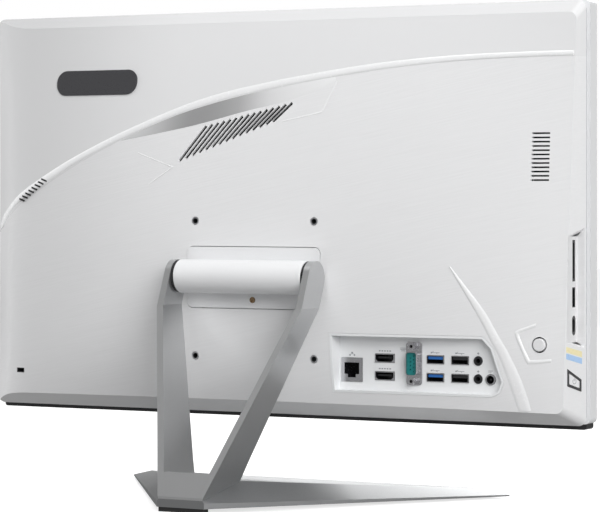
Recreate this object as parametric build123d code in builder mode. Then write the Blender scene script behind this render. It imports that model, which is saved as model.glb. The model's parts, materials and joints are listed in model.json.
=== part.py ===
"""All-in-one desktop computer on a folded V stand, as an assembly of separate pieces.

Millimetres. +Z is up, the screen faces -Y, and the origin is at floor level below the
middle of the whole object. The side with the ports is -X.
"""
from build123d import *
import os

os.makedirs("parts", exist_ok=True)

# ---- driving dimensions -------------------------------------------------------------

HEAD_W = 500.0
HEAD_BOTTOM = 57.2
HEAD_TOP = 360.9
HEAD_FRONT = -58.0
BEZEL_DEPTH = 13.3
GROOVE_DEPTH = 5.9
GROOVE_INSET = 2.6
LIP_Y = HEAD_FRONT + BEZEL_DEPTH + GROOVE_DEPTH
HEAD_MID_Z = (HEAD_BOTTOM + HEAD_TOP) / 2
HEAD_H = HEAD_TOP - HEAD_BOTTOM

SCREEN_W = 476.0
SCREEN_H = 268.0
SCREEN_BOTTOM = HEAD_BOTTOM + 23.7
PANEL_X = (-SCREEN_W / 2 - 3, SCREEN_W / 2 + 3)
PANEL_Z = (SCREEN_BOTTOM - 2.4, SCREEN_BOTTOM + SCREEN_H + 2.6)
PANEL_GAP = 0.5
PANEL_T = 2.7
BEZEL_FACE_T = 1.5
TRIM_H = 4.0
LIP_LIFT = 3.1
TRIM_RELIEF = 2.4

WALL = 2.4
CROWN_Z = 150.0
CROWN_Y = -2.9
SIDE_SLOPE = 0.34
TOP_SLOPE = 0.91
BOTTOM_SLOPE = 0.425

VESA_Z = 153.8
VESA_HALF = 50.0
VESA_Y = -5.2
VESA_HOLE_R = 2.0
VESA_BUSH_R = 2.9

HINGE_Y = 10.0
HINGE_Z = 163.2
BARREL_R = 12.4
BARREL_HALF = 53.2
SHAFT_R = 6.0
RUNNING_GAP = 0.05

ARM_T = 5.0
ARM_X = 60.4
FOLD_Z = 141.6
ARM_IN_SLOPE = 0.3195
ARM_LEAN = 0.516
ARM_REAR_AT_FOLD = 32.5
ARM_END_R = 12.2

TRAY_FLOOR_Y = -17.0
TRAY_FLOOR_T = 1.6
CHASSIS_Y = -43.2
BOARD_X = (-208.0, -58.0)
BOARD_Y = -39.0
BOARD_Z = (76.0, 246.0)

NOTCH_X = -243.0
NOTCH_Y = -37.2
NOTCH_LOW = 119.5
NOTCH_HIGH = 194.0

BLOWER_X = 20.0
BLOWER_Z = 252.0


# ---- helpers ------------------------------------------------------------------------

def facing(y):
    """Plane across the head at depth y: sketch axes are X and Z, extrusion goes forward."""
    return Plane(origin=(0, y, 0), x_dir=(1, 0, 0), z_dir=(0, -1, 0))


def block(x, y, z, mode=Mode.ADD):
    """Box between two limits on each axis, joined to the part being built."""
    with Locations(((x[0] + x[1]) / 2, (y[0] + y[1]) / 2, (z[0] + z[1]) / 2)):
        Box(x[1] - x[0], y[1] - y[0], z[1] - z[0], mode=mode)


def rod(x, z, radius, y, mode=Mode.ADD):
    """Cylinder along Y, centred at (x, z), between two depths."""
    with Locations(Location((x, (y[0] + y[1]) / 2, z), (90, 0, 0))):
        Cylinder(radius, y[1] - y[0], mode=mode)


def socket(x, z, width, height, y, wall, floor, mode=Mode.ADD):
    """Box-shaped socket that opens to the rear."""
    block((x - width / 2, x + width / 2), y, (z - height / 2, z + height / 2), mode)
    inner_w = width / 2 - wall
    inner_h = height / 2 - wall
    block((x - inner_w, x + inner_w), (floor, y[1]), (z - inner_h, z + inner_h), Mode.SUBTRACT)


def skin_y(x, z):
    """Depth of the rear skin: a gentle crown between straight edges, rolled off at +X."""
    edge = -16.0 - 13.5 * (z - 70) / 282
    if z > CROWN_Z:
        crown = CROWN_Y - 26.6 * ((z - CROWN_Z) / 202) ** 2
    else:
        crown = CROWN_Y - 10.1 * ((CROWN_Z - z) / 80) ** 3
    y = edge + (crown - edge) * (1 - min(abs(x) / 245, 1.02) ** 2.5)
    roll_start = 205.0
    if x > roll_start:
        roll = ((x - roll_start) / 44) ** 2.5
        y = LIP_Y + (y - LIP_Y) * (1 - roll)
    return y


def skin_solid(inset):
    """Everything in front of the rear skin, with the skin moved forward by inset."""
    columns = 26
    rows = 14
    grid = []
    for row in range(rows + 1):
        z = 50 + row * (366 - 50) / rows
        xs = [-256 + column * 512 / columns for column in range(columns + 1)]
        grid.append([Vector(x, skin_y(x, z) - inset, z) for x in xs])
    skin = Face.make_surface_from_array_of_points(grid)
    return extrude(skin, amount=70, dir=(0, -1, 0), mode=Mode.PRIVATE)


def tapered_head(shrink):
    """Loft between the outline at the lip and a smaller outline at y = 0."""
    reach = -LIP_Y
    lip = (-HEAD_W / 2 + 0.6, HEAD_W / 2 - 0.6, HEAD_BOTTOM + LIP_LIFT, HEAD_TOP - 0.6)
    back = (
        lip[0] + SIDE_SLOPE * reach,
        lip[1] - 0.01 * reach,
        lip[2] + BOTTOM_SLOPE * reach,
        lip[3] - TOP_SLOPE * reach,
    )
    outlines = []
    for y, (left, right, low, high) in ((LIP_Y, lip), (0, back)):
        with BuildSketch(facing(y)) as outline:
            with Locations(((left + right) / 2, (low + high) / 2)):
                RectangleRounded(right - left - 2 * shrink, high - low - 2 * shrink, 6)
        outlines.append(outline.sketch)
    return loft(outlines, mode=Mode.PRIVATE)


pieces = {}

# ---- front: bezel, screen and frame -------------------------------------------------

bezel_back = HEAD_FRONT + BEZEL_DEPTH
screen_z = (SCREEN_BOTTOM, SCREEN_BOTTOM + SCREEN_H)

with BuildPart() as front_bezel:
    with BuildSketch(facing(bezel_back)):
        with Locations((0, (HEAD_BOTTOM + TRIM_H + HEAD_TOP) / 2)):
            RectangleRounded(HEAD_W, HEAD_H - TRIM_H, 4)
    extrude(amount=BEZEL_DEPTH)
    front_edges = front_bezel.edges().group_by(Axis.Y)[0]
    fillet(front_edges, 1.5)
    block((-SCREEN_W / 2, SCREEN_W / 2), (HEAD_FRONT, bezel_back), screen_z, Mode.SUBTRACT)
    pocket_x = (PANEL_X[0] - PANEL_GAP, PANEL_X[1] + PANEL_GAP)
    pocket_z = (PANEL_Z[0] - PANEL_GAP, PANEL_Z[1] + PANEL_GAP)
    block(pocket_x, (HEAD_FRONT + BEZEL_FACE_T, bezel_back), pocket_z, Mode.SUBTRACT)
pieces["front_bezel"] = front_bezel

with BuildPart() as bottom_trim:
    block((-247, 247), (HEAD_FRONT + 0.4, bezel_back), (HEAD_BOTTOM, HEAD_BOTTOM + TRIM_H))
    fillet(bottom_trim.edges().filter_by(Axis.Y).group_by(Axis.Z)[0], 2)
pieces["bottom_trim"] = bottom_trim

with BuildPart() as lcd_panel:
    panel_front = HEAD_FRONT + BEZEL_FACE_T + 0.1
    block(PANEL_X, (panel_front, panel_front + PANEL_T), PANEL_Z)
pieces["lcd_panel"] = lcd_panel

with BuildPart() as backlight_unit:
    light_front = panel_front + PANEL_T + 0.1
    light_x = (PANEL_X[0] + PANEL_GAP, PANEL_X[1] - PANEL_GAP)
    light_z = (PANEL_Z[0] + PANEL_GAP, PANEL_Z[1] - PANEL_GAP)
    block(light_x, (light_front, light_front + 7.1), light_z)
pieces["backlight_unit"] = backlight_unit

with BuildPart() as middle_frame:
    with BuildSketch(facing(LIP_Y)):
        with Locations((0, HEAD_MID_Z + TRIM_RELIEF / 2)):
            RectangleRounded(HEAD_W - 2 * GROOVE_INSET, HEAD_H - 2 * GROOVE_INSET - TRIM_RELIEF, 5)
        with Locations((0, HEAD_MID_Z)):
            RectangleRounded(HEAD_W - 28, HEAD_H - 28, 3, mode=Mode.SUBTRACT)
    extrude(amount=GROOVE_DEPTH)
pieces["middle_frame"] = middle_frame

with BuildPart() as chassis_plate:
    block((-235, 235), (CHASSIS_Y - 1.2, CHASSIS_Y), (72.5, 345.5))
    with Locations((170, CHASSIS_Y, 250), (-170, CHASSIS_Y, 300), (150, CHASSIS_Y, 320)):
        Box(50, 4, 24, mode=Mode.SUBTRACT)
    for x in (BOARD_X[0] + 6, BOARD_X[1] - 6):
        for z in (BOARD_Z[0] + 4, BOARD_Z[1] - 6):
            rod(x, z, 2.5, (CHASSIS_Y, BOARD_Y - 1.6))
pieces["chassis_plate"] = chassis_plate

# ---- rear cover ---------------------------------------------------------------------

TRAY_OUTLINE = [(-63.0, 123.3), (-182.5, 123.3), (-190.0, 115.5), (-198.0, 91.0)]
TRAY_OUTLINE += [(-194.5, 83.0), (-188.0, 80.0), (-63.0, 80.0)]
NOTCH_OUTLINE = [(-241.4, NOTCH_LOW), (NOTCH_X, NOTCH_LOW), (-253, NOTCH_LOW - 7)]
NOTCH_OUTLINE += [(-253, NOTCH_HIGH + 10), (NOTCH_X, NOTCH_HIGH), (-241.4, NOTCH_HIGH)]
BUTTON_OUTLINE = [(-7.2, 8.9), (7.2, 1.0), (7.2, -7.4), (-7.2, -3.0)]
BUTTON_AT = (-245.2, -27.0, 92.5)
BUTTON_OUT = Vector(-1, SIDE_SLOPE, 0).normalized()
BUTTON_PLANE = Plane(origin=BUTTON_AT, x_dir=(-BUTTON_OUT.Y, BUTTON_OUT.X, 0), z_dir=BUTTON_OUT)
NAVI_X = -223.7
NAVI_Z = 118.0
NAVI_R = 4.6
LOCK_X = 212.3
LOCK_Z = 87.7
PLATE_HALF = (55.6, 22.5)
PLATE_Z = 162.2
SCREW_Z = 145.9


def main_vent_slots():
    """Slanted slots whose two ends run along two converging lines."""
    slots = 15
    for index in range(slots):
        share = index / (slots - 1)
        low = Vector(66.7, 248.0) + Vector(-77.7, 28.6) * share
        high = Vector(45.2, 274.2) + Vector(-71.4, 16.2) * share
        run = high - low
        angle = Vector(1, 0).get_signed_angle(run, Vector(0, 0, 1))
        middle = (low + high) * 0.5
        with Locations(Location((middle.X, middle.Y, 0), (0, 0, angle))):
            Rectangle(run.length, 2.2)


def edge_vent_slots():
    """Short slanted slots at the left edge and level slots at the right edge."""
    for index in range(8):
        share = index / 7
        with Locations(Location((213.5 - 21.9 * share, 219.1 + 15.2 * share, 0), (0, 0, 18))):
            Rectangle(5.4, 1.2)
    with Locations((-222.0, 250.0)):
        with GridLocations(0, 3.0, 1, 12):
            Rectangle(13.2, 1.2)


with BuildPart() as cavity:
    add(skin_solid(WALL))
    add(tapered_head(WALL), mode=Mode.INTERSECT)

with BuildPart() as rear_cover:
    add(skin_solid(0))
    add(tapered_head(0), mode=Mode.INTERSECT)
    add(cavity.part, mode=Mode.SUBTRACT)
    with BuildSketch(facing(2)):
        Polygon(*TRAY_OUTLINE, align=None)
        Polygon(*NOTCH_OUTLINE, align=None)
        main_vent_slots()
        edge_vent_slots()
        with Locations((0, PLATE_Z)):
            RectangleRounded(2 * PLATE_HALF[0] + 1, 2 * PLATE_HALF[1] + 1, 5)
        with Locations((0, VESA_Z)):
            with GridLocations(2 * VESA_HALF, 2 * VESA_HALF, 2, 2):
                Circle(VESA_BUSH_R + 0.2)
        with Locations((NAVI_X, NAVI_Z)):
            Circle(NAVI_R + 1.0)
        with Locations((LOCK_X, LOCK_Z)):
            Rectangle(7.6, 3.6)
    extrude(amount=40.7, mode=Mode.SUBTRACT)
    with BuildSketch(BUTTON_PLANE.offset(3)):
        Polygon(*BUTTON_OUTLINE, align=None)
        offset(amount=0.2, kind=Kind.INTERSECTION)
    extrude(amount=-9, mode=Mode.SUBTRACT)
pieces["rear_cover"] = rear_cover

with BuildPart() as vent_mesh:
    block((-32, 74), (-22.0, -21.2), (243, 296))
    block((-231, -213), (-31.5, -30.7), (230, 270))
    block((186, 222), (-27.0, -26.2), (214, 240))
pieces["vent_mesh"] = vent_mesh

with BuildPart() as badge_plate:
    with BuildSketch(facing(-16)):
        with Locations((147, 308.5)):
            RectangleRounded(74, 19, 9)
    extrude(amount=12)
    add(skin_solid(-0.6), mode=Mode.INTERSECT)
    add(skin_solid(0), mode=Mode.SUBTRACT)
pieces["badge_plate"] = badge_plate

with BuildPart() as lock_slot:
    socket(LOCK_X, LOCK_Z, 7.4, 3.4, (-24, -15.4), 0.6, -23)
pieces["lock_slot"] = lock_slot

# ---- side notch, power button and menu key ------------------------------------------

SIDE_SLOT_Y = -31.6
SD_Z = 176.9
SIDE_USB_Z = 151.2
USBC_Z = 131.4
SIDE_FACE_X = NOTCH_X + 0.2
SIDE_BOARD_X = -228.1

with BuildPart() as side_port_panel:
    with BuildSketch(facing(0)):
        Polygon(*NOTCH_OUTLINE, align=None)
    extrude(amount=-LIP_Y - 0.2)
    add(skin_solid(0), mode=Mode.INTERSECT)
    add(tapered_head(0), mode=Mode.INTERSECT)
    block((-256, NOTCH_X), (NOTCH_Y, 5), (NOTCH_LOW - 12, NOTCH_HIGH + 14), Mode.SUBTRACT)
    for z, height, width in ((SD_Z, 29.2, 5.0), (SIDE_USB_Z, 14.2, 5.6)):
        half = (height / 2, width / 2)
        reach = (SIDE_SLOT_Y - half[1], SIDE_SLOT_Y + half[1])
        block((-250, -240), reach, (z - half[0], z + half[0]), Mode.SUBTRACT)
    with BuildSketch(Plane(origin=(-240, 0, 0), x_dir=(0, -1, 0), z_dir=(-1, 0, 0))):
        with Locations(Location((-SIDE_SLOT_Y, USBC_Z, 0), (0, 0, 90))):
            SlotOverall(14, 6.4)
    extrude(amount=10, mode=Mode.SUBTRACT)
pieces["side_port_panel"] = side_port_panel

with BuildPart() as side_io_board:
    block((-228, -226.6), (-40, -26), (121, 196))
pieces["side_io_board"] = side_io_board

with BuildPart() as side_inserts:
    block((SIDE_FACE_X, SIDE_BOARD_X), (-34.0, -29.2), (SD_Z - 14.5, SD_Z + 14.5))
    block((SIDE_FACE_X, SIDE_BOARD_X - 1.4), (-32.7, -30.5), (SD_Z - 12.4, SD_Z + 12.4), Mode.SUBTRACT)
    with BuildSketch(Plane(origin=(SIDE_FACE_X + 3.2, 0, 0), x_dir=(0, -1, 0), z_dir=(-1, 0, 0))):
        with Locations(Location((-SIDE_SLOT_Y, USBC_Z, 0), (0, 0, 90))):
            SlotOverall(13.8, 6.2)
            SlotOverall(9.1, 3.3, mode=Mode.SUBTRACT)
    extrude(amount=3.2)
pieces["side_inserts"] = side_inserts

with BuildPart() as side_usb_port:
    block((SIDE_FACE_X, SIDE_BOARD_X), (-34.3, -28.9), (SIDE_USB_Z - 7.0, SIDE_USB_Z + 7.0))
    usb_mouth = (SIDE_USB_Z - 6.4, SIDE_USB_Z + 6.4)
    block((SIDE_FACE_X, SIDE_BOARD_X - 1.4), (-33.8, -29.4), usb_mouth, Mode.SUBTRACT)
    block((-241.0, -229.0), (-31.2, -29.8), (SIDE_USB_Z - 5.6, SIDE_USB_Z + 5.6))
pieces["side_usb_port"] = side_usb_port

with BuildPart() as side_usbc_port:
    with BuildSketch(Plane(origin=(SIDE_BOARD_X, 0, 0), x_dir=(0, -1, 0), z_dir=(-1, 0, 0))):
        with Locations(Location((-SIDE_SLOT_Y, USBC_Z, 0), (0, 0, 90))):
            SlotOverall(9.0, 3.2)
    extrude(amount=13.2)
    with BuildSketch(Plane(origin=(-229.5, 0, 0), x_dir=(0, -1, 0), z_dir=(-1, 0, 0))):
        with Locations(Location((-SIDE_SLOT_Y, USBC_Z, 0), (0, 0, 90))):
            SlotOverall(8.2, 2.4)
            Rectangle(6.4, 0.7, mode=Mode.SUBTRACT)
    extrude(amount=13, mode=Mode.SUBTRACT)
pieces["side_usbc_port"] = side_usbc_port

with BuildPart() as power_button_frame:
    with BuildSketch(BUTTON_PLANE.offset(0.5)):
        Polygon(*BUTTON_OUTLINE, align=None)
    extrude(amount=-3.2)
    with BuildSketch(BUTTON_PLANE.offset(1)):
        Polygon(*BUTTON_OUTLINE, align=None)
        offset(amount=-1.6, kind=Kind.INTERSECTION)
    extrude(amount=-5, mode=Mode.SUBTRACT)
pieces["power_button_frame"] = power_button_frame

with BuildPart() as power_button:
    with BuildSketch(BUTTON_PLANE.offset(0.3)):
        Polygon(*BUTTON_OUTLINE, align=None)
        offset(amount=-1.9, kind=Kind.INTERSECTION)
    extrude(amount=-4.0)
pieces["power_button"] = power_button

with BuildPart() as power_switch:
    with BuildSketch(BUTTON_PLANE.offset(-4.8)):
        Rectangle(5, 5)
    extrude(amount=-4)
pieces["power_switch"] = power_switch

with BuildPart() as menu_key:
    rod(NAVI_X, NAVI_Z, NAVI_R, (-20.5, -14.2))
    fillet(menu_key.edges().group_by(Axis.Y)[-1], 0.8)
pieces["menu_key"] = menu_key

with BuildPart() as menu_key_guide:
    rod(NAVI_X, NAVI_Z, 7.2, (-23.6, -20.0))
    rod(NAVI_X, NAVI_Z, NAVI_R + 0.35, (-21.9, -20.0), Mode.SUBTRACT)
pieces["menu_key_guide"] = menu_key_guide

with BuildPart() as control_board:
    block((-236, -211), (-25.3, -23.8), (108, 128))
pieces["control_board"] = control_board

# ---- rear ports ---------------------------------------------------------------------

PORT_BACK = BOARD_Y
PORT_LIP = TRAY_FLOOR_Y + 0.6
RJ45_AT = (-75.2, 96.4)
HDMI_X = -101.8
SERIAL_X = -125.6
SERIAL_Z = 102.2
USB3_X = -142.3
USB2_X = -161.8
PORT_ROWS = (105.4, 92.6)
AUDIO_X = -175.9
DC_AT = (-185.6, 92.4)


def port_openings():
    """Windows in the tray floor, one for each socket."""
    with Locations(RJ45_AT):
        Rectangle(17.2, 17.6)
    for row in PORT_ROWS:
        with Locations((HDMI_X, row)):
            Rectangle(16.0, 6.6)
        with Locations((USB3_X, row), (USB2_X, row)):
            Rectangle(13.9, 6.4)
        with Locations((AUDIO_X, row)):
            Circle(3.5)
    with Locations((SERIAL_X, SERIAL_Z)):
        Rectangle(9.4, 17.8)
        with GridLocations(0, 25, 1, 2):
            Circle(1.7)
    with Locations(DC_AT):
        Circle(4.1)


with BuildPart() as port_tray:
    with BuildSketch(facing(0)):
        Polygon(*TRAY_OUTLINE, align=None)
        offset(amount=-0.15, kind=Kind.INTERSECTION)
    extrude(amount=-TRAY_FLOOR_Y)
    add(skin_solid(0), mode=Mode.INTERSECT)
    with BuildSketch(facing(0)):
        Polygon(*TRAY_OUTLINE, align=None)
        offset(amount=-1.9, kind=Kind.INTERSECTION)
    extrude(amount=-TRAY_FLOOR_Y, mode=Mode.SUBTRACT)
pieces["port_tray"] = port_tray

with BuildPart() as port_plate:
    with BuildSketch(facing(TRAY_FLOOR_Y)):
        Polygon(*TRAY_OUTLINE, align=None)
        offset(amount=-0.15, kind=Kind.INTERSECTION)
    extrude(amount=TRAY_FLOOR_T)
    with BuildSketch(facing(TRAY_FLOOR_Y + 1)):
        port_openings()
    extrude(amount=6, mode=Mode.SUBTRACT)
pieces["port_plate"] = port_plate

with BuildPart() as rj45_jack:
    x, z = RJ45_AT
    block((x - 8.5, x + 8.5), (PORT_BACK, PORT_LIP), (z - 8.7, z + 8.7))
    block((x - 6.0, x + 6.0), (PORT_LIP - 14, PORT_LIP), (z - 3.2, z + 5.2), Mode.SUBTRACT)
    block((x - 3.2, x + 3.2), (PORT_LIP - 14, PORT_LIP), (z - 5.6, z - 3.0), Mode.SUBTRACT)
    with Locations((x, PORT_LIP - 8, z + 4.8)):
        with GridLocations(1.02, 1, 8, 1):
            Box(0.4, 11, 0.8)
pieces["rj45_jack"] = rj45_jack

with BuildPart() as hdmi_ports:
    for row in PORT_ROWS:
        block((HDMI_X - 7.8, HDMI_X + 7.8), (PORT_BACK, PORT_LIP), (row - 3.1, row + 3.1))
    with BuildSketch(facing(PORT_LIP)):
        with Locations(*[(HDMI_X, row) for row in PORT_ROWS]):
            Polygon((-7.2, 2.6), (7.2, 2.6), (7.2, -0.8), (5.4, -2.6), (-5.4, -2.6), (-7.2, -0.8),
                    align=None)
    extrude(amount=10, mode=Mode.SUBTRACT)
    for row in PORT_ROWS:
        block((HDMI_X - 5.6, HDMI_X + 5.6), (PORT_LIP - 11, PORT_LIP - 1), (row - 0.2, row + 1.1))
pieces["hdmi_ports"] = hdmi_ports

with BuildPart() as serial_port_shell:
    with BuildSketch(facing(PORT_LIP + 0.4)):
        with Locations((SERIAL_X, SERIAL_Z)):
            RectangleRounded(12.4, 31, 2.4)
            with GridLocations(0, 25, 1, 2):
                Circle(1.6, mode=Mode.SUBTRACT)
    extrude(amount=0.8)
    with BuildSketch(facing(PORT_LIP + 5.2)):
        with Locations((SERIAL_X, SERIAL_Z)):
            RectangleRounded(8.6, 17.0, 2.2)
    extrude(amount=5.6)
    with BuildSketch(facing(PORT_LIP + 5.2)):
        with Locations((SERIAL_X, SERIAL_Z)):
            RectangleRounded(7.8, 16.2, 1.9)
    extrude(amount=8, mode=Mode.SUBTRACT)
pieces["serial_port_shell"] = serial_port_shell

with BuildPart() as serial_port_insert:
    with BuildSketch(facing(PORT_LIP + 3.6)):
        with Locations((SERIAL_X, SERIAL_Z)):
            RectangleRounded(7.6, 16.0, 1.8)
    extrude(amount=PORT_LIP + 3.6 - PORT_BACK)
    with BuildSketch(facing(PORT_LIP + 3.6)):
        with Locations((SERIAL_X - 1.4, SERIAL_Z)):
            with GridLocations(0, 2.77, 1, 5):
                Circle(0.55)
        with Locations((SERIAL_X + 1.4, SERIAL_Z)):
            with GridLocations(0, 2.77, 1, 4):
                Circle(0.55)
    extrude(amount=6, mode=Mode.SUBTRACT)
pieces["serial_port_insert"] = serial_port_insert

with BuildPart() as serial_jack_posts:
    with BuildSketch(facing(PORT_LIP + 5.0)):
        with Locations((SERIAL_X, SERIAL_Z)):
            with GridLocations(0, 25, 1, 2):
                RegularPolygon(2.7, 6)
    extrude(amount=4.6)
    for z in (SERIAL_Z - 12.5, SERIAL_Z + 12.5):
        rod(SERIAL_X, z, 1.5, (PORT_LIP - 8, PORT_LIP + 0.5))
        rod(SERIAL_X, z, 1.2, (PORT_LIP - 1, PORT_LIP + 5.0), Mode.SUBTRACT)
pieces["serial_jack_posts"] = serial_jack_posts


def usb_shells(x):
    """The two stacked shells of one USB column."""
    for row in PORT_ROWS:
        socket(x, row, 13.5, 6.0, (PORT_BACK, PORT_LIP), 0.4, PORT_LIP - 15)


def usb_tongues(x):
    """The tongue that carries the contacts inside each shell."""
    for row in PORT_ROWS:
        block((x - 5.7, x + 5.7), (PORT_LIP - 15, PORT_LIP - 0.8), (row + 0.2, row + 2.2))


with BuildPart() as usb3_shells:
    usb_shells(USB3_X)
pieces["usb3_shells"] = usb3_shells

with BuildPart() as usb3_tongues:
    usb_tongues(USB3_X)
pieces["usb3_tongues"] = usb3_tongues

with BuildPart() as usb2_shells:
    usb_shells(USB2_X)
pieces["usb2_shells"] = usb2_shells

with BuildPart() as usb2_tongues:
    usb_tongues(USB2_X)
pieces["usb2_tongues"] = usb2_tongues

with BuildPart() as audio_jacks:
    for row in PORT_ROWS:
        rod(AUDIO_X, row, 3.3, (PORT_BACK, PORT_LIP))
        rod(AUDIO_X, row, 1.8, (PORT_LIP - 14, PORT_LIP), Mode.SUBTRACT)
pieces["audio_jacks"] = audio_jacks

with BuildPart() as dc_jack:
    rod(*DC_AT, 3.9, (PORT_BACK, PORT_LIP))
    rod(*DC_AT, 2.9, (PORT_LIP - 10, PORT_LIP), Mode.SUBTRACT)
    rod(*DC_AT, 0.8, (PORT_LIP - 11, PORT_LIP - 1))
pieces["dc_jack"] = dc_jack

# ---- electronics --------------------------------------------------------------------

CPU_AT = (-110.0, 192.0)
PIPE_R = 3.0
FIN_Z = 296.0

with BuildPart() as motherboard:
    block(BOARD_X, (BOARD_Y - 1.6, BOARD_Y), BOARD_Z)
pieces["motherboard"] = motherboard

with BuildPart() as processor:
    block((CPU_AT[0] - 19, CPU_AT[0] + 19), (BOARD_Y, BOARD_Y + 2.2), (CPU_AT[1] - 19, CPU_AT[1] + 19))
pieces["processor"] = processor

with BuildPart() as cooler_plate:
    cooler_y = (BOARD_Y + 2.2, BOARD_Y + 4.2)
    block((CPU_AT[0] - 30, CPU_AT[0] + 30), cooler_y, (CPU_AT[1] - 30, CPU_AT[1] + 30))
pieces["cooler_plate"] = cooler_plate

with BuildPart() as heat_pipe:
    pipe_y = BOARD_Y + 4.2 + PIPE_R
    with BuildLine() as pipe_path:
        FilletPolyline((CPU_AT[0], pipe_y, CPU_AT[1] - 20), (CPU_AT[0], pipe_y, FIN_Z),
                       (BLOWER_X - 34, pipe_y, FIN_Z), radius=24)
    with BuildSketch(Plane(origin=pipe_path.line @ 0, z_dir=pipe_path.line % 0)):
        Circle(PIPE_R)
    sweep()
pieces["heat_pipe"] = heat_pipe

with BuildPart() as cooling_fins:
    fin_y = (pipe_y - 6, pipe_y + 6)
    block((BLOWER_X - 34, BLOWER_X + 34), fin_y, (FIN_Z - 6, FIN_Z + 6))
    with Locations((BLOWER_X, pipe_y + 0.8, FIN_Z)):
        with GridLocations(2.6, 1, 26, 1):
            Box(1.7, 10.4, 14, mode=Mode.SUBTRACT)
pieces["cooling_fins"] = cooling_fins

with BuildPart() as blower_housing:
    blower_y = (CHASSIS_Y, -27.5)
    block((BLOWER_X - 37, BLOWER_X + 37), blower_y, (BLOWER_Z - 37, BLOWER_Z + 37))
    rod(BLOWER_X, BLOWER_Z, 32, (CHASSIS_Y + 1.4, -28.7), Mode.SUBTRACT)
    rod(BLOWER_X, BLOWER_Z, 25, (-29, -27.4), Mode.SUBTRACT)
    block((BLOWER_X - 30, BLOWER_X + 30), (CHASSIS_Y + 1.4, -28.7), (BLOWER_Z, BLOWER_Z + 38), Mode.SUBTRACT)
    rod(BLOWER_X, BLOWER_Z, 1.5, (CHASSIS_Y + 1.2, -31))
pieces["blower_housing"] = blower_housing

with BuildPart() as blower_rotor:
    rotor_y = (CHASSIS_Y + 2.2, -29.6)
    rod(BLOWER_X, BLOWER_Z, 15, rotor_y)
    rod(BLOWER_X, BLOWER_Z, 28, (rotor_y[0], rotor_y[0] + 1.2))
    with BuildSketch(facing(rotor_y[1])):
        with Locations((BLOWER_X, BLOWER_Z)):
            with PolarLocations(21.5, 23):
                Rectangle(13.6, 1.0, rotation=22)
    extrude(amount=rotor_y[1] - rotor_y[0])
    rod(BLOWER_X, BLOWER_Z, 1.5 + RUNNING_GAP, (CHASSIS_Y, -30.7), Mode.SUBTRACT)
pieces["blower_rotor"] = blower_rotor

with BuildPart() as storage_drive:
    block((62, 162), (CHASSIS_Y + 1, CHASSIS_Y + 8), (92, 162))
    fillet(storage_drive.edges().filter_by(Axis.Y), 2)
pieces["storage_drive"] = storage_drive

with BuildPart() as drive_tray:
    block((58, 166), (CHASSIS_Y, CHASSIS_Y + 1), (90, 164))
    block((58, 59.2), (CHASSIS_Y, CHASSIS_Y + 8), (90, 164))
    block((164.8, 166), (CHASSIS_Y, CHASSIS_Y + 8), (90, 164))
pieces["drive_tray"] = drive_tray

with BuildPart() as memory_modules:
    for step in (0, 4.6):
        block((-146, -78), (BOARD_Y + 1 + step, BOARD_Y + 4 + step), (128, 158))
pieces["memory_modules"] = memory_modules

with BuildPart() as wireless_card:
    block((-200, -170), (BOARD_Y + 1, BOARD_Y + 3.2), (140, 162))
pieces["wireless_card"] = wireless_card

with BuildPart() as speakers:
    for x, z in ((186, 86), (-222, 86)):
        block((x - 13, x + 13), (-42, -28), (z - 11, z + 11))
        rod(x, z, 8, (-28, -26.6))
        rod(x, z, 6, (-27.4, -26.5), Mode.SUBTRACT)
pieces["speakers"] = speakers

# ---- mounting: wall-mount bushes and hinge ------------------------------------------

with BuildPart() as vesa_bushes:
    with BuildSketch(facing(VESA_Y)):
        with Locations((0, VESA_Z)):
            with GridLocations(2 * VESA_HALF, 2 * VESA_HALF, 2, 2):
                Circle(VESA_BUSH_R)
                Circle(VESA_HOLE_R, mode=Mode.SUBTRACT)
    extrude(amount=VESA_Y - CHASSIS_Y)
pieces["vesa_bushes"] = vesa_bushes

PLATE_Y = -2.8
BRACKET_Y = (-8.4, -5.4)

with BuildPart() as hinge_bracket:
    block((-44, 44), BRACKET_Y, (141, 184))
    for side in (-1, 1):
        inner, outer = sorted((side * 41, side * 44))
        block((inner, outer), (CHASSIS_Y, BRACKET_Y[0]), (141, 184))
    rod(0, SCREW_Z, 1.5, (-9, -5), Mode.SUBTRACT)
pieces["hinge_bracket"] = hinge_bracket

with BuildPart() as hinge_cover_plate:
    with BuildSketch(facing(PLATE_Y)):
        with Locations((0, PLATE_Z)):
            RectangleRounded(2 * PLATE_HALF[0], 2 * PLATE_HALF[1], 4.6)
        with Locations((0, HINGE_Z)):
            Rectangle(90.6, 12.6, mode=Mode.SUBTRACT)
        with Locations((0, SCREW_Z)):
            Circle(2.4, mode=Mode.SUBTRACT)
    extrude(amount=2.5)
pieces["hinge_cover_plate"] = hinge_cover_plate

with BuildPart() as hinge_plate_screw:
    rod(0, SCREW_Z, 2.2, (-4.6, -2.5))
    rod(0, SCREW_Z, 1.5, (-8.4, -4.6))
    block((-1.5, 1.5), (-3.2, -2.4), (SCREW_Z - 0.35, SCREW_Z + 0.35), Mode.SUBTRACT)
    block((-0.35, 0.35), (-3.2, -2.4), (SCREW_Z - 1.5, SCREW_Z + 1.5), Mode.SUBTRACT)
pieces["hinge_plate_screw"] = hinge_plate_screw


def across(radius, x, mode=Mode.ADD):
    """Cylinder along the hinge axis between two values of X."""
    with Locations(Location(((x[0] + x[1]) / 2, HINGE_Y, HINGE_Z), (0, 90, 0))):
        Cylinder(radius, x[1] - x[0], mode=mode)


with BuildPart() as hinge_barrel:
    across(BARREL_R, (-BARREL_HALF, BARREL_HALF))
    fillet(hinge_barrel.edges(), 1.0)
    block((-45, 45), (BRACKET_Y[1], HINGE_Y), (HINGE_Z - 6, HINGE_Z + 6))
    across(SHAFT_R + RUNNING_GAP, (-60, 60), Mode.SUBTRACT)
pieces["hinge_barrel"] = hinge_barrel

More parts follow.
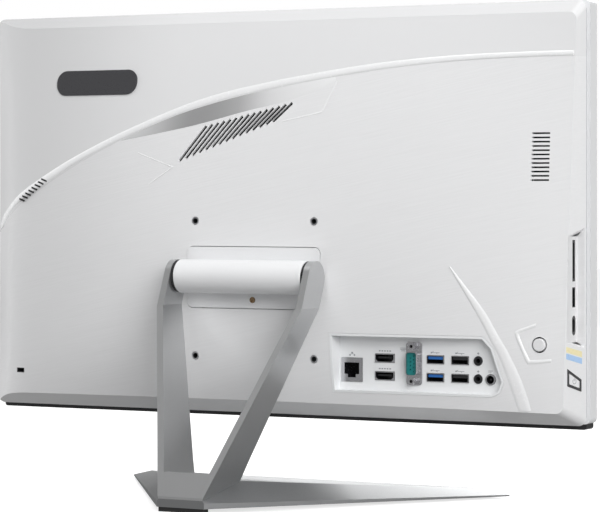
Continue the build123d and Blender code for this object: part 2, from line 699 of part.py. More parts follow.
with BuildPart() as hinge_shaft:
    across(SHAFT_R, (-ARM_X + 2, ARM_X - 2))
pieces["hinge_shaft"] = hinge_shaft

with BuildPart() as hinge_washers:
    for side in (-1, 1):
        ends = sorted((side * (BARREL_HALF + 0.3), side * (ARM_X - ARM_T)))
        across(12.0, ends)
    across(SHAFT_R, (-60, 60), Mode.SUBTRACT)
pieces["hinge_washers"] = hinge_washers

# ---- stand --------------------------------------------------------------------------

BASE_SECTIONS = [
    # y, half width, underside, edge height, ridge half width, ridge height
    (-100.0, 162.5, 1.2, 1.0, 146.0, 6.1),
    (52.4, 53.4, 2.7, 3.3, 20.5, 19.1),
    (100.0, 19.3, 3.2, 4.0, 18.0, 9.0),
]

with BuildPart() as base_plate:
    for y, half, under, edge, ridge, top in BASE_SECTIONS:
        with BuildSketch(facing(y)):
            Polygon((-half, under), (half, under), (half, under + edge), (ridge, top),
                    (-ridge, top), (-half, under + edge), align=None)
    loft(ruled=True)
    with Locations((0, 70, 0), (0, 88, 0)):
        with GridLocations(30, 1, 2, 1):
            Cylinder(3.4, 12, mode=Mode.SUBTRACT)
pieces["base_plate"] = base_plate


def arm_x(z):
    """Outer face of the +X arm below the fold."""
    return ARM_X - ARM_IN_SLOPE * (FOLD_Z - z)


def rear_line(z):
    """Rear edge of the arms."""
    return ARM_REAR_AT_FOLD + ARM_LEAN * (FOLD_Z - z)


def stand_arm(side):
    """One folded arm: its side outline crossed with its front outline."""
    foot_z = 4.0
    top_z = HINGE_Z + ARM_END_R + 2
    front = [(ARM_X, top_z), (ARM_X, FOLD_Z), (arm_x(foot_z), foot_z)]
    slant = ARM_T * (1 + ARM_IN_SLOPE ** 2) ** 0.5
    front += [(arm_x(foot_z) - slant, foot_z), (ARM_X - ARM_T, FOLD_Z + 0.8), (ARM_X - ARM_T, top_z)]
    with BuildPart() as arm:
        with BuildSketch(facing(110)):
            Polygon(*[(side * x, z) for x, z in front], align=None)
        extrude(amount=140)
        with BuildSketch(Plane.YZ.offset(-80)):
            Polygon((HINGE_Y - 11.0, HINGE_Z - 5.3), (6.8, 139), (47.4, 33.8), (52.4, 19.1), (58.0, foot_z),
                    (rear_line(foot_z), foot_z), (rear_line(FOLD_Z), FOLD_Z),
                    (HINGE_Y + 10.8, HINGE_Z + 5.7), align=None)
            with Locations((HINGE_Y, HINGE_Z)):
                Circle(ARM_END_R)
        extrude(amount=160, mode=Mode.INTERSECT)
        across(SHAFT_R, (-ARM_X + 2, ARM_X - 2), Mode.SUBTRACT)
        add(base_plate.part, mode=Mode.SUBTRACT)
        block((-70, 70), (BASE_SECTIONS[-1][0], 120), (-5, 40), Mode.SUBTRACT)
        block((-70, 70), (40, 120), (-5, 8), Mode.SUBTRACT)
    return arm


pieces["stand_arm_left"] = stand_arm(1)
pieces["stand_arm_right"] = stand_arm(-1)

with BuildPart() as stand_web:
    web_low = 6.0
    web_high = 27.0
    with BuildSketch(Plane.YZ.offset(-40)):
        Polygon((rear_line(web_low), web_low), (rear_line(web_high), web_high),
                (rear_line(web_high) - 5.6, web_high), (rear_line(web_low) - 5.6, web_low), align=None)
    extrude(amount=80)
    inner = 5.3
    with BuildSketch(facing(120)):
        Polygon((arm_x(web_low) - inner, web_low), (arm_x(web_high) - inner, web_high),
                (inner - arm_x(web_high), web_high), (inner - arm_x(web_low), web_low), align=None)
    extrude(amount=60, mode=Mode.INTERSECT)
    add(base_plate.part, mode=Mode.SUBTRACT)
    block((-70, 70), (BASE_SECTIONS[-1][0], 130), (-5, 40), Mode.SUBTRACT)
pieces["stand_web"] = stand_web

with BuildPart() as base_screws:
    with Locations((0, 70, 4.2), (0, 88, 4.3)):
        with GridLocations(30, 1, 2, 1):
            Cylinder(3.1, 1.6)
            Cylinder(1.2, 2.4, mode=Mode.SUBTRACT)
pieces["base_screws"] = base_screws

with BuildPart() as front_feet:
    for x in (-128, 128):
        with Locations((x, -88, 0.6)):
            Cylinder(7, 1.2)
pieces["front_feet"] = front_feet

with BuildPart() as rear_foot:
    block((-19, 19), (92, 99.6), (0, 3.1))
    fillet(rear_foot.edges().filter_by(Axis.Z), 2)
pieces["rear_foot"] = rear_foot

# ---- write every piece --------------------------------------------------------------

for name, piece in pieces.items():
    piece.part.label = name
    export_step(piece.part, f"parts/{name}.step")
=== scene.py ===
"""Looks for the all-in-one PC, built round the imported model. Metres, +Z up, screen towards -Y."""
import json
import math

import bmesh
import bpy
from mathutils import Matrix, Vector


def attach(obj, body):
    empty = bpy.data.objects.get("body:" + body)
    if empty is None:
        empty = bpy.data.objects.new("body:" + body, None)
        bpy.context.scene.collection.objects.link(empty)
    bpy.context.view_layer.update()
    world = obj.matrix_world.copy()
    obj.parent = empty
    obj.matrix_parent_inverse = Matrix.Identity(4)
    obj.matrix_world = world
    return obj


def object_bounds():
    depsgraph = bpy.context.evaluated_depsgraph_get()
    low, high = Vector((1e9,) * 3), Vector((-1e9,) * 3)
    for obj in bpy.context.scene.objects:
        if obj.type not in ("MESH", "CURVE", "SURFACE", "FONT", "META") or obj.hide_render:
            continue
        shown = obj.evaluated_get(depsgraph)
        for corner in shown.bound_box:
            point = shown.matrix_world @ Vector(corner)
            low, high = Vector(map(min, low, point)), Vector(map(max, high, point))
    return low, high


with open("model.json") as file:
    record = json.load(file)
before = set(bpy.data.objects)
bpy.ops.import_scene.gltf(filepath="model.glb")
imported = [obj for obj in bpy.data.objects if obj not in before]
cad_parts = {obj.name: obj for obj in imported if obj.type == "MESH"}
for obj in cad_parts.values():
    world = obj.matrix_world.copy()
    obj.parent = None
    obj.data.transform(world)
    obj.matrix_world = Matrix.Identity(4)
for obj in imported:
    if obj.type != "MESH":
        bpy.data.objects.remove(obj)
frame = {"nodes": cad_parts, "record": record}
nodes = frame["nodes"]
cad_low, cad_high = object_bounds()

MM = 0.001


# ---- node material helpers ----------------------------------------------------------

def blank(name):
    """A material with only its Principled shader: the material, its node tree and the shader."""
    mat = bpy.data.materials.new(name)
    mat.use_nodes = True
    tree = mat.node_tree
    shader = tree.nodes["Principled BSDF"]
    return mat, tree, shader


def link(tree, source, target):
    tree.links.new(source, target)


def math_node(tree, operation, first, second=None):
    """A Math node; an argument is a number or another node's output."""
    node = tree.nodes.new("ShaderNodeMath")
    node.operation = operation
    for socket, value in zip(node.inputs, (first, second)):
        if value is None:
            continue
        if isinstance(value, (int, float)):
            socket.default_value = value
        else:
            link(tree, value, socket)
    return node.outputs[0]


def stretched_noise(tree, scale, stretch=(1, 1, 1), turn=(0, 0, 0), detail=3.0):
    """Noise in the object's own space, stretched along its axes after a turn."""
    place = tree.nodes.new("ShaderNodeTexCoord")
    turned = tree.nodes.new("ShaderNodeMapping")
    turned.inputs["Rotation"].default_value = turn
    sized = tree.nodes.new("ShaderNodeMapping")
    sized.inputs["Scale"].default_value = stretch
    noise = tree.nodes.new("ShaderNodeTexNoise")
    noise.inputs["Scale"].default_value = scale
    noise.inputs["Detail"].default_value = detail
    link(tree, place.outputs["Object"], turned.inputs["Vector"])
    link(tree, turned.outputs["Vector"], sized.inputs["Vector"])
    link(tree, sized.outputs["Vector"], noise.inputs["Vector"])
    return noise.outputs["Fac"]


def object_axes(tree):
    """The outputs X, Y and Z of the point being shaded, in the object's own space (metres)."""
    place = tree.nodes.new("ShaderNodeTexCoord")
    parts = tree.nodes.new("ShaderNodeSeparateXYZ")
    link(tree, place.outputs["Object"], parts.inputs["Vector"])
    return parts.outputs


def remap(tree, value, source, target, smooth=False):
    """Maps a value from the range source to the range target."""
    node = tree.nodes.new("ShaderNodeMapRange")
    if smooth:
        node.interpolation_type = "SMOOTHSTEP"
    node.inputs["From Min"].default_value, node.inputs["From Max"].default_value = source
    node.inputs["To Min"].default_value, node.inputs["To Max"].default_value = target
    link(tree, value, node.inputs["Value"])
    return node.outputs["Result"]


def spread(tree, value, low, high):
    """Maps a noise value from its middle range to low..high."""
    return remap(tree, value, (0.3, 0.7), (low, high))


def blend_base(tree, shader, factor, colour, colour_first):
    """Mixes the shader's linked base colour with another; factor 1 gives the second one."""
    mix = tree.nodes.new("ShaderNodeMix")
    mix.data_type = "RGBA"
    own, other = ("B", "A") if colour_first else ("A", "B")
    mix.inputs[other].default_value = (*colour, 1)
    link(tree, shader.inputs["Base Color"].links[0].from_socket, mix.inputs[own])
    link(tree, factor, mix.inputs["Factor"])
    link(tree, mix.outputs["Result"], shader.inputs["Base Color"])


def tint(tree, shader, value, colour, amount):
    """Base colour that varies gently about one colour."""
    mix = tree.nodes.new("ShaderNodeMix")
    mix.data_type = "RGBA"
    dark = [channel * (1 - amount) for channel in colour]
    light = [min(1, channel * (1 + amount)) for channel in colour]
    mix.inputs["A"].default_value = (*dark, 1)
    mix.inputs["B"].default_value = (*light, 1)
    link(tree, value, mix.inputs["Factor"])
    link(tree, mix.outputs["Result"], shader.inputs["Base Color"])


def bump(tree, shader, height, strength, distance):
    node = tree.nodes.new("ShaderNodeBump")
    node.inputs["Strength"].default_value = strength
    node.inputs["Distance"].default_value = distance
    link(tree, height, node.inputs["Height"])
    link(tree, node.outputs["Normal"], shader.inputs["Normal"])


def moulded(name, colour, roughness, grain=900, depth=0.08, coat=0.0):
    """Moulded plastic or rubber: fine spark-eroded grain and slight unevenness."""
    mat, tree, shader = blank(name)
    broad = stretched_noise(tree, 14)
    fine = stretched_noise(tree, grain, detail=2)
    tint(tree, shader, broad, colour, 0.03)
    link(tree, spread(tree, fine, roughness - 0.05, roughness + 0.05), shader.inputs["Roughness"])
    bump(tree, shader, fine, depth, 0.0002)
    shader.inputs["Coat Weight"].default_value = coat
    shader.inputs["Coat Roughness"].default_value = 0.12
    return mat


def metal(name, colour, roughness, stretch=(1, 1, 1), scale=600, depth=0.05):
    """Metal with a brushed or bead-blasted surface."""
    mat, tree, shader = blank(name)
    shader.inputs["Metallic"].default_value = 1.0
    grain = stretched_noise(tree, scale, stretch)
    broad = stretched_noise(tree, 9)
    tint(tree, shader, broad, colour, 0.04)
    link(tree, spread(tree, grain, roughness - 0.06, roughness + 0.06), shader.inputs["Roughness"])
    bump(tree, shader, grain, depth, 0.0002)
    return mat


def socket_metal(name, colour, roughness, rim_y):
    """Bright metal down to rim_y, and painted shade in front of it: near-black, not metallic, inside the
    sockets.
    """
    mat = metal(name, colour, roughness, scale=900)
    tree = mat.node_tree
    shader = tree.nodes["Principled BSDF"]
    # Painted shade: in front of rim_y the sockets' metal is turned near-black.
    outside = math_node(tree, "GREATER_THAN", object_axes(tree)["Y"], rim_y * MM)
    blend_base(tree, shader, outside, (0.012, 0.012, 0.014), colour_first=True)
    link(tree, outside, shader.inputs["Metallic"])
    return mat


# ---- the cover's rear skin, in millimetres as in the CAD model ----------------------

LIP_Y = -38.8
LOW_Z = 70.0
RISE_TO_TOP = 282.0
EDGE_Y = -16.0
EDGE_FALL = 13.5
CROWN_Z = 150.0
CROWN_Y = -2.9
FALL_ABOVE, REACH_ABOVE = 26.6, 202.0
FALL_BELOW, REACH_BELOW = 10.1, 80.0
HALF_WIDTH = 245.0
ROLL_START = 205.0
ROLL_WIDTH = 44.0
SIDE_POWER = 2.5


def skin_y(x, z):
    """Depth of the cover's rear skin: a crown between straight edges, rolled off at +X."""
    edge = EDGE_Y - EDGE_FALL * (z - LOW_Z) / RISE_TO_TOP
    if z > CROWN_Z:
        crown = CROWN_Y - FALL_ABOVE * ((z - CROWN_Z) / REACH_ABOVE) ** 2
    else:
        crown = CROWN_Y - FALL_BELOW * ((CROWN_Z - z) / REACH_BELOW) ** 3
    y = edge + (crown - edge) * (1 - min(abs(x) / HALF_WIDTH, 1.02) ** SIDE_POWER)
    if x > ROLL_START:
        roll = ((x - ROLL_START) / ROLL_WIDTH) ** SIDE_POWER
        y = LIP_Y + (y - LIP_Y) * (1 - roll)
    return y


# ---- materials ----------------------------------------------------------------------

FINISH_TOP = 320.4
FINISH_DROP = 120.3
FINISH_START = -240.0
FINISH_RUN = 478.0
FINISH_POWER = 2.7
BRUSH_SLANT = math.radians(-12)
# SHADE_SPAN: the stretch of X (metres) over which the cover's colour carries painted shade.
SHADE_SPAN = (0.06, 0.215)
SCOOP_SPAN = (-0.055, 0.120)


def cover_white():
    """White cover: smooth gloss above the long arc, fine slanted brush lines below it, painted shade
    towards +X.
    """
    mat, tree, shader = blank("cover_white")
    axes = object_axes(tree)
    run = math_node(tree, "SUBTRACT", axes["X"], FINISH_START * MM)
    share = math_node(tree, "DIVIDE", math_node(tree, "MAXIMUM", run, 0.0), FINISH_RUN * MM)
    curve = math_node(tree, "POWER", share, FINISH_POWER)
    drop = math_node(tree, "MULTIPLY", curve, FINISH_DROP * MM)
    line = math_node(tree, "SUBTRACT", FINISH_TOP * MM, drop)
    below = math_node(tree, "LESS_THAN", axes["Z"], line)
    hair = stretched_noise(tree, 1.0, (26, 200, 900), (0, BRUSH_SLANT, 0), detail=5)
    broad = stretched_noise(tree, 5)
    brushed = math_node(tree, "MULTIPLY", hair, below)
    streak = math_node(tree, "MULTIPLY_ADD", brushed, 0.9)
    link(tree, math_node(tree, "MULTIPLY", broad, 0.25), streak.node.inputs[2])
    tint(tree, shader, streak, (0.81, 0.812, 0.82), 0.035)
    # Painted shade: towards +X, across SHADE_SPAN, the base colour is mixed up to 17% towards black.
    shade = remap(tree, axes["X"], SHADE_SPAN, (0.0, 0.17), smooth=True)
    blend_base(tree, shader, shade, (0, 0, 0), colour_first=False)
    rough = math_node(tree, "MULTIPLY_ADD", below, 0.10)
    rough.node.inputs[2].default_value = 0.24
    link(tree, rough, shader.inputs["Roughness"])
    bump(tree, shader, brushed, 0.22, 0.0004)
    shader.inputs["Coat Weight"].default_value = 0.25
    shader.inputs["Coat Roughness"].default_value = 0.1
    return mat


def screen_dark():
    """Switched-off display under an anti-glare film."""
    mat, tree, shader = blank("screen")
    haze = stretched_noise(tree, 1800, detail=1)
    tint(tree, shader, haze, (0.012, 0.012, 0.015), 0.1)
    link(tree, spread(tree, haze, 0.16, 0.24), shader.inputs["Roughness"])
    bump(tree, shader, haze, 0.02, 0.0001)
    shader.inputs["Specular IOR Level"].default_value = 0.5
    return mat


def scoop_shade():
    """The scoop above the vent in painted shade: darker in its deep middle and white where it runs out.
    """
    mat, tree, shader = blank("scoop_shade")
    ramp = tree.nodes.new("ShaderNodeValToRGB")
    ramp.color_ramp.interpolation = "B_SPLINE"
    stops = ramp.color_ramp.elements
    stops[0].position = 0.05
    stops[0].color = (0.84, 0.845, 0.85, 1)
    stops[1].position = 0.98
    stops[1].color = (0.66, 0.665, 0.67, 1)
    for position, grey in ((0.28, 0.74), (0.42, 0.38), (0.66, 0.27), (0.80, 0.50)):
        stop = stops.new(position)
        stop.color = (grey, grey, grey * 1.01, 1)
    span = remap(tree, object_axes(tree)["X"], SCOOP_SPAN, (0.0, 1.0))
    link(tree, span, ramp.inputs["Fac"])
    link(tree, ramp.outputs["Color"], shader.inputs["Base Color"])
    fine = stretched_noise(tree, 900, detail=2)
    link(tree, spread(tree, fine, 0.36, 0.44), shader.inputs["Roughness"])
    bump(tree, shader, fine, 0.04, 0.0002)
    return mat


SOCKET_RIM_Y = -16.65
looks = {
    "cover_white": cover_white(),
    "frame_white": moulded("frame_white", (0.86, 0.865, 0.875), 0.22, 500, 0.03, 0.4),
    "tray_white": moulded("tray_white", (0.84, 0.85, 0.86), 0.38, 1400, 0.10),
    "hinge_white": moulded("hinge_white", (0.83, 0.835, 0.845), 0.32, 1600, 0.06, 0.2),
    "groove_grey": moulded("groove_grey", (0.50, 0.51, 0.53), 0.42, 1200, 0.08),
    "black_plastic": moulded("black_plastic", (0.018, 0.018, 0.02), 0.42, 1300, 0.12),
    "badge_grey": metal("badge_grey", (0.16, 0.16, 0.17), 0.32, (8, 200, 200), 40, 0.12),
    "screen": screen_dark(),
    "backlight": metal("backlight", (0.7, 0.71, 0.73), 0.35),
    "steel": metal("steel", (0.55, 0.56, 0.58), 0.36, (1, 1, 12), 120, 0.08),
    "port_metal": socket_metal("port_metal", (0.62, 0.62, 0.64), 0.22, SOCKET_RIM_Y),
    "chrome_trim": metal("chrome_trim", (0.26, 0.26, 0.27), 0.10, scale=500, depth=0.02),
    "usb_blue": moulded("usb_blue", (0.02, 0.14, 0.46), 0.38),
    "serial_teal": moulded("serial_teal", (0.006, 0.19, 0.19), 0.42),
    "board_green": moulded("board_green", (0.02, 0.12, 0.06), 0.36, 260, 0.2),
    "chip_grey": metal("chip_grey", (0.4, 0.4, 0.42), 0.4),
    "cooler_metal": metal("cooler_metal", (0.72, 0.42, 0.30), 0.3),
    "drive_metal": metal("drive_metal", (0.5, 0.51, 0.53), 0.34),
    "screw_bronze": metal("screw_bronze", (0.36, 0.25, 0.15), 0.30),
    "stand_silver": metal("stand_silver", (0.60, 0.605, 0.61), 0.38, (1, 1, 1), 1500, 0.14),
    "foot_rubber": moulded("foot_rubber", (0.02, 0.02, 0.02), 0.75, 700, 0.2),
}

slot_of = {row["node"]: row["material_slot"] for row in frame["record"]["subparts"]}
for name, node in nodes.items():
    for place in node.material_slots:
        place.material = looks[slot_of[name]]

base_look = metal("stand_base", (0.34, 0.345, 0.35), 0.44, (1, 1, 1), 1500, 0.14)
for place in nodes["base_plate"].material_slots:
    place.material = base_look

mark_grey = moulded("mark_grey", (0.30, 0.31, 0.33), 0.5)
# Lighter than the cover white: the raised bands, lines and chevron are white plastic with a painted
# highlight.
band_white_painted_highlight = moulded("band_white_painted_highlight", (0.87, 0.873, 0.88), 0.24, 400, 0.01, 0.4)
painted_scoop_shade = scoop_shade()
slot_black = moulded("slot_black", (0.02, 0.02, 0.022), 0.5)
label_pale = moulded("label_pale", (0.86, 0.78, 0.48), 0.3, 600, 0.03)
label_blue = moulded("label_blue", (0.42, 0.60, 0.86), 0.3, 600, 0.03)


# ---- mesh helpers -------------------------------------------------------------------

def add_piece(name, mesh, material, body):
    """Puts a mesh in the scene as a piece that rides on a body."""
    mesh.materials.append(material)
    piece = bpy.data.objects.new(name, mesh)
    bpy.context.scene.collection.objects.link(piece)
    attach(piece, body)
    return piece


def mesh_from(made, name):
    """Turns a finished bmesh into a mesh and frees it."""
    mesh = bpy.data.meshes.new(name)
    made.to_mesh(mesh)
    made.free()
    return mesh


def wall_round(made, front, back, outline):
    """Faces that join two matching sheets of points along a closed outline of indices."""
    for first, second in zip(outline, outline[1:] + outline[:1]):
        made.faces.new((front[first], back[first], back[second], front[second]))
    bmesh.ops.recalc_face_normals(made, faces=made.faces)


def skin_strip(name, lower, upper, rise, material, steps=72, across=8, depth=0.5, lift=0.0):
    """A closed strip that follows the skin between two outlines, crowned by rise. Millimetres.

    lower and upper turn a share from 0 to 1 into a point (x, z) on the cover. The strip starts
    depth inside the skin, and its edges stand lift above the skin.
    """
    made = bmesh.new()
    front = []
    back = []
    for step in range(steps + 1):
        share = step / steps
        low = Vector(lower(share))
        high = Vector(upper(share))
        for cross in range(across + 1):
            part = cross / across
            x, z = low.lerp(high, part)
            crown = lift + rise * (1 - abs(2 * part - 1) ** 3)
            y = skin_y(x, z)
            front.append(made.verts.new(Vector((x, y + crown, z)) * MM))
            back.append(made.verts.new(Vector((x, y - depth, z)) * MM))
    row = across + 1
    for step in range(steps):
        for cross in range(across):
            start = step * row + cross
            ring = (start, start + 1, start + row + 1, start + row)
            made.faces.new([front[i] for i in ring])
            made.faces.new([back[i] for i in reversed(ring)])
    outline = list(range(row))
    outline += [step * row + across for step in range(1, steps + 1)]
    outline += [steps * row + cross for cross in range(across - 1, -1, -1)]
    outline += [step * row for step in range(steps - 1, 0, -1)]
    wall_round(made, front, back, outline)
    mesh = mesh_from(made, name)
    for face in mesh.polygons:
        face.use_smooth = True
    piece = add_piece(name, mesh, material, "head")
    edges = piece.modifiers.new("edges", "EDGE_SPLIT")
    edges.split_angle = math.radians(35)


def along(points):
    """A smooth path through given points (x, z): share 0..1 gives a point."""
    def at(share):
        place = share * (len(points) - 1)
        index = min(int(place), len(points) - 2)
        part = place - index
        before = Vector(points[max(index - 1, 0)])
        start = Vector(points[index])
        end = Vector(points[index + 1])
        after = Vector(points[min(index + 2, len(points) - 1)])
        fixed = 2 * start
        linear = (end - before) * part
        square = (2 * before - 5 * start + 4 * end - after) * part ** 2
        cubic = (3 * start - before - 3 * end + after) * part ** 3
        return 0.5 * (fixed + linear + square + cubic)
    return at


# ---- bands and lines on the cover, in millimetres -----------------------------------

arc_low = along([
    (243, 196.5), (238, 200.1), (217.8, 216.6), (188.5, 232.6), (161.6, 247.0),
    (122.8, 263.7), (76.6, 281.0), (44.2, 290.2), (11.4, 297.4), (-30.7, 304.8),
    (-92.0, 313.2), (-152.5, 318.4), (-211.3, 320.4), (-244.5, 320.6),
])
arc_high = along([
    (244, 201.5), (238, 208.2), (217.8, 222.8), (188.5, 239.4), (161.6, 252.8),
    (122.8, 269.4), (76.6, 286.6), (44.2, 296.4), (11.4, 303.4), (-30.7, 310.4),
    (-92.0, 318.4), (-152.5, 322.8), (-211.3, 324.4), (-244.5, 324.6),
])
skin_strip("arc_band", arc_low, arc_high, 0.7, band_white_painted_highlight, steps=140)

EDGE_SLOTS = 8
FIRST_SLOT = Vector((213.5, 219.1))
SLOT_RUN = Vector((-21.9, 15.2))
SLOT_REACH = Vector((2.7, 0.9))
SLOT_WIDTH = Vector((-0.2, 0.6))
ABOVE_BAND = 0.78

for number in range(EDGE_SLOTS):
    middle = FIRST_SLOT + SLOT_RUN * number / (EDGE_SLOTS - 1)
    start = middle + SLOT_REACH
    end = middle - SLOT_REACH
    slot_low = along([start - SLOT_WIDTH, end - SLOT_WIDTH])
    slot_high = along([start + SLOT_WIDTH, end + SLOT_WIDTH])
    skin_strip(f"edge_slot_{number}", slot_low, slot_high, 0.0, slot_black, 6, 1, 0.2, ABOVE_BAND)

swoosh_left = along([
    (-157, 172), (-179.8, 135.5), (-187.3, 121.5), (-194.6, 108.3), (-201.7, 89.5), (-207.8, 71.5),
])
swoosh_right = along([
    (-158, 172), (-182.0, 143), (-192.0, 127), (-202.0, 110.6), (-211.5, 91.0), (-218.0, 71.5),
])
skin_strip("swoosh_band", swoosh_left, swoosh_right, 0.6, band_white_painted_highlight)

scoop_low = along([
    (120.0, 263.9), (84.0, 269.8), (50.5, 276.0), (12.0, 285.0), (-26.0, 293.0), (-60.0, 305.0),
])
scoop_high = along([
    (120.0, 264.9), (84.0, 278.6), (50.5, 288.8), (12.0, 297.6), (-26.0, 304.4), (-60.0, 309.2),
])
# The vent scoop is a barely raised strip; its colour is painted shade.
skin_strip("vent_scoop", scoop_low, scoop_high, 0.12, painted_scoop_shade)


def crease(name, start, end, width=0.7):
    """A fine raised line on the cover between two points (x, z)."""
    start = Vector(start)
    end = Vector(end)
    run = (end - start).normalized() * width / 2
    side = Vector((-run.y, run.x))
    lower = along([start - side, end - side])
    upper = along([start + side, end + side])
    skin_strip(name, lower, upper, 0.16, band_white_painted_highlight, 24, 4, 0.2, 0.02)


crease("pad_edge_right", (-61.8, 306.0), (-51.4, 283.3), 1.1)
crease("pad_edge_low", (-51.4, 283.3), (-19.0, 276.9), 1.1)
crease("pad_edge_left", (104.0, 254.6), (72.4, 243.8))
crease("pad_tail", (72.4, 243.8), (93.1, 230.7))

chevron_outer = along([
    (-221.4, 133.2), (-214, 130.4), (-207.0, 127.6), (-206.2, 124.0), (-210, 115),
    (-214.5, 105.4), (-217, 104.4), (-225, 105), (-232.5, 105.8),
])
chevron_inner = along([
    (-221.0, 130.6), (-215, 128.3), (-210.0, 126.2), (-209.4, 123.4), (-213, 115),
    (-216.5, 108.2), (-218, 107.4), (-225, 107.7), (-232.5, 108.2),
])
skin_strip("key_chevron", chevron_outer, chevron_inner, 0.5, band_white_painted_highlight, 64, 4)


# ---- marks printed over the sockets, in millimetres ---------------------------------

TRAY_FLOOR_Y = -17.0
MARK_PROUD = 0.06
MARK_THICK = 0.3
PORT_ROWS = (105.4, 92.6)
USB_COLUMNS = (-142.3, -161.8)
HDMI_X = -101.8
AUDIO_X = -175.9
NETWORK_X = -75.2
SERIAL_MARK_X = -116.5
POWER_X = -185.6


def network_marks():
    """Three little boxes on a line."""
    boxes = [(NETWORK_X, 108.6, 1.5, 1.2, 0)]
    boxes += [(NETWORK_X + step, 106.9, 1.3, 1.0, 0) for step in (-1.8, 1.8)]
    return boxes + [(NETWORK_X, 107.7, 4.0, 0.3, 0)]


def usb_marks(x, z):
    """A branched line with a diamond at its end."""
    branches = [(x + 2.2, z + 5.6, 1.6, 0.3, 35), (x - 1.0, z + 4.5, 1.6, 0.3, -35)]
    return [(x, z + 5.0, 6.5, 0.35, 0)] + branches + [(x + 3.3, z + 5.0, 1.0, 1.0, 45)]


def bar_marks():
    """Every mark as a bar: x, z, width, height and turn in degrees."""
    bars = []
    for row in PORT_ROWS:
        for column in USB_COLUMNS:
            bars += usb_marks(column, row)
        bars += [(HDMI_X + step * 2.1, row + 5.2, 1.3, 0.9, 0) for step in (-2, -1, 0, 1, 2)]
        bars += [(AUDIO_X, row + 5.3, 0.5, 1.8, 0), (AUDIO_X, row + 5.3, 1.8, 0.5, 0)]
    bars += network_marks()
    bars += [(SERIAL_MARK_X, z, width, 0.4, 0) for z, width in ((113.0, 4.6), (112.0, 4.6), (111.0, 3.2))]
    bars += [(POWER_X, 98.6, 3.6, 0.4, 0)]
    bars += [(POWER_X + step, 97.7, 1.0, 0.4, 0) for step in (0, 1.4)]
    return bars


made = bmesh.new()
for x, z, width, height, turn in bar_marks():
    size = Matrix.Diagonal((width, MARK_THICK, height, 1))
    spin = Matrix.Rotation(math.radians(turn), 4, "Y")
    place = Matrix.Translation((x, TRAY_FLOOR_Y + MARK_PROUD - MARK_THICK / 2, z))
    bmesh.ops.create_cube(made, size=1, matrix=Matrix.Scale(MM, 4) @ place @ spin @ size)
port_marks = add_piece("port_marks", mesh_from(made, "port_marks"), mark_grey, "head")
round_off = port_marks.modifiers.new("round", "BEVEL")
round_off.width = 0.08 * MM
round_off.segments = 2


# ---- plain label on the side wall and symbol on the power button, in millimetres ----

SIDE_SLOPE = 0.34
WALL_X = -249.4
WALL_OUT = Vector((-1, SIDE_SLOPE, 0)).normalized()
BUTTON_AT = Vector((-245.2, -27.0, 92.5))
BUTTON_FACE = 0.3
PATCH_ROOT = -0.1


def wall_point(y, z, proud):
    """Point on the cover's -X wall, stood off by proud."""
    return Vector((WALL_X + SIDE_SLOPE * (y - LIP_Y), y, z)) + WALL_OUT * proud


def button_point(across_button, up, proud):
    """Point on the power button's front face, stood off by proud."""
    side = Vector((-WALL_OUT.y, WALL_OUT.x, 0))
    return BUTTON_AT + side * across_button + Vector((0, 0, up)) + WALL_OUT * (BUTTON_FACE + proud)


def flat_patch(name, corners, material, body, point_on, proud):
    """A thin flat patch: point_on turns each corner of its outline into a point on the object."""
    made = bmesh.new()
    front = [made.verts.new(point_on(first, second, proud) * MM) for first, second in corners]
    back = [made.verts.new(point_on(first, second, PATCH_ROOT) * MM) for first, second in corners]
    made.faces.new(front)
    made.faces.new(list(reversed(back)))
    wall_round(made, front, back, list(range(len(corners))))
    add_piece(name, mesh_from(made, name), material, body)


def symbol_arc(radius, steps=16):
    """Points round the power symbol's open ring."""
    turns = [math.radians(125 + step * 290 / steps) for step in range(steps + 1)]
    return [(radius * math.cos(turn), radius * math.sin(turn)) for turn in turns]


upper_corners = [(-34.5, 109.2), (-19.0, 113.2), (-19.0, 117.0), (-34.5, 113.2)]
lower_corners = [(-34.5, 104.4), (-19.0, 108.4), (-19.0, 112.4), (-34.5, 108.4)]
flat_patch("label_upper", upper_corners, label_pale, "head", wall_point, 0.08)
flat_patch("label_lower", lower_corners, label_blue, "head", wall_point, 0.08)

symbol_ring = symbol_arc(1.9) + symbol_arc(1.5)[::-1]
symbol_bar = [(-0.2, 0.3), (0.2, 0.3), (0.2, 2.2), (-0.2, 2.2)]
for name, corners in (("power_ring", symbol_ring), ("power_bar", symbol_bar)):
    flat_patch(name, corners, mark_grey, "power_button_cap", button_point, 0.04)


# ---- bevels on the CAD pieces' edges ------------------------------------------------

EDGE_BEVELS = {
    "stand_arm_left": 0.7,
    "stand_arm_right": 0.7,
    "stand_web": 0.7,
    "base_plate": 0.7,
    "hinge_cover_plate": 0.4,
    "power_button": 0.4,
    "power_button_frame": 0.3,
}
for name, width in EDGE_BEVELS.items():
    edge = nodes[name].modifiers.new("edge", "BEVEL")
    edge.width = width * MM
    edge.segments = 2
    edge.limit_method = "ANGLE"
    edge.angle_limit = math.radians(28)
    edge.harden_normals = True


# ---- studio -------------------------------------------------------------------------

scene = bpy.context.scene
scene.view_settings.view_transform = "Standard"


def floor_finish():
    """Pale floor: nearly white to the camera, greyer to the light that it throws back."""
    mat, tree, shader = blank("floor_look")
    shader.inputs["Roughness"].default_value = 0.5
    shader.inputs["Emission Color"].default_value = (1, 1, 1, 1)
    to_camera = tree.nodes.new("ShaderNodeLightPath").outputs["Is Camera Ray"]
    glow = math_node(tree, "MULTIPLY", to_camera, 0.72)
    link(tree, glow, shader.inputs["Emission Strength"])
    grey = math_node(tree, "MULTIPLY_ADD", to_camera, 0.06)
    grey.node.inputs[2].default_value = 0.32
    link(tree, grey, shader.inputs["Base Color"])
    return mat


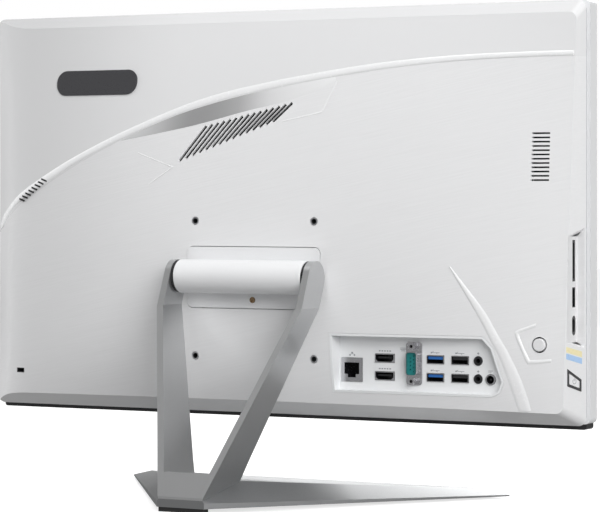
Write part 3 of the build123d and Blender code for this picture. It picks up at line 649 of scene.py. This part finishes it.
FLOOR_HALF = 6
made = bmesh.new()
bmesh.ops.create_grid(made, x_segments=1, y_segments=1, size=FLOOR_HALF)
floor = bpy.data.objects.new("floor", mesh_from(made, "floor"))
floor.data.materials.append(floor_finish())
floor.location.z = cad_low[2]
scene.collection.objects.link(floor)

WORLD_LIGHT = 0.38
world = bpy.data.worlds.new("studio")
world.use_nodes = True
backdrop = world.node_tree.nodes["Background"]
backdrop.inputs["Color"].default_value = (1, 1, 1, 1)
seen = world.node_tree.nodes.new("ShaderNodeLightPath").outputs["Is Camera Ray"]
strength = math_node(world.node_tree, "MAXIMUM", seen, WORLD_LIGHT)
link(world.node_tree, strength, backdrop.inputs["Strength"])
scene.world = world


def area_light(name, place, aim, size, power, mirrored=True):
    """A soft box that the camera doesn't see, and that surfaces mirror only if mirrored."""
    light = bpy.data.lights.new(name, "AREA")
    light.shape = "RECTANGLE"
    light.size, light.size_y = size
    light.energy = power
    lamp = bpy.data.objects.new(name, light)
    lamp.location = place
    lamp.rotation_euler = (Vector(aim) - Vector(place)).to_track_quat("-Z", "Y").to_euler()
    lamp.visible_camera = False
    lamp.visible_glossy = mirrored
    scene.collection.objects.link(lamp)


area_light("key", (-1.9, 1.5, 1.1), (0, 0, 0.2), (1.6, 1.2), 44)
area_light("left_softbox", (2.0, 0.1, 0.5), (0.1, 0, 0.2), (0.7, 1.4), 34, mirrored=False)
area_light("top_softbox", (0, 0.6, 2.2), (0, 0, 0.2), (1.8, 0.9), 12)
area_light("front_fill", (0.6, -2.2, 1.3), (0, 0, 0.2), (1.6, 1.2), 28)

CAMERA_AT = (-1.0447, 1.8403, 0.2255)
CAMERA_TURN = 208.6
HORIZON_SHIFT = -0.1075
LENS_MM = 173.3
SENSOR_MM = 36

camera_data = bpy.data.cameras.new("camera")
camera_data.lens = LENS_MM
camera_data.sensor_width = SENSOR_MM
camera_data.shift_y = HORIZON_SHIFT
camera = bpy.data.objects.new("camera", camera_data)
camera.location = CAMERA_AT
camera.rotation_euler = (math.pi / 2, 0, math.radians(CAMERA_TURN))
scene.collection.objects.link(camera)
scene.camera = camera
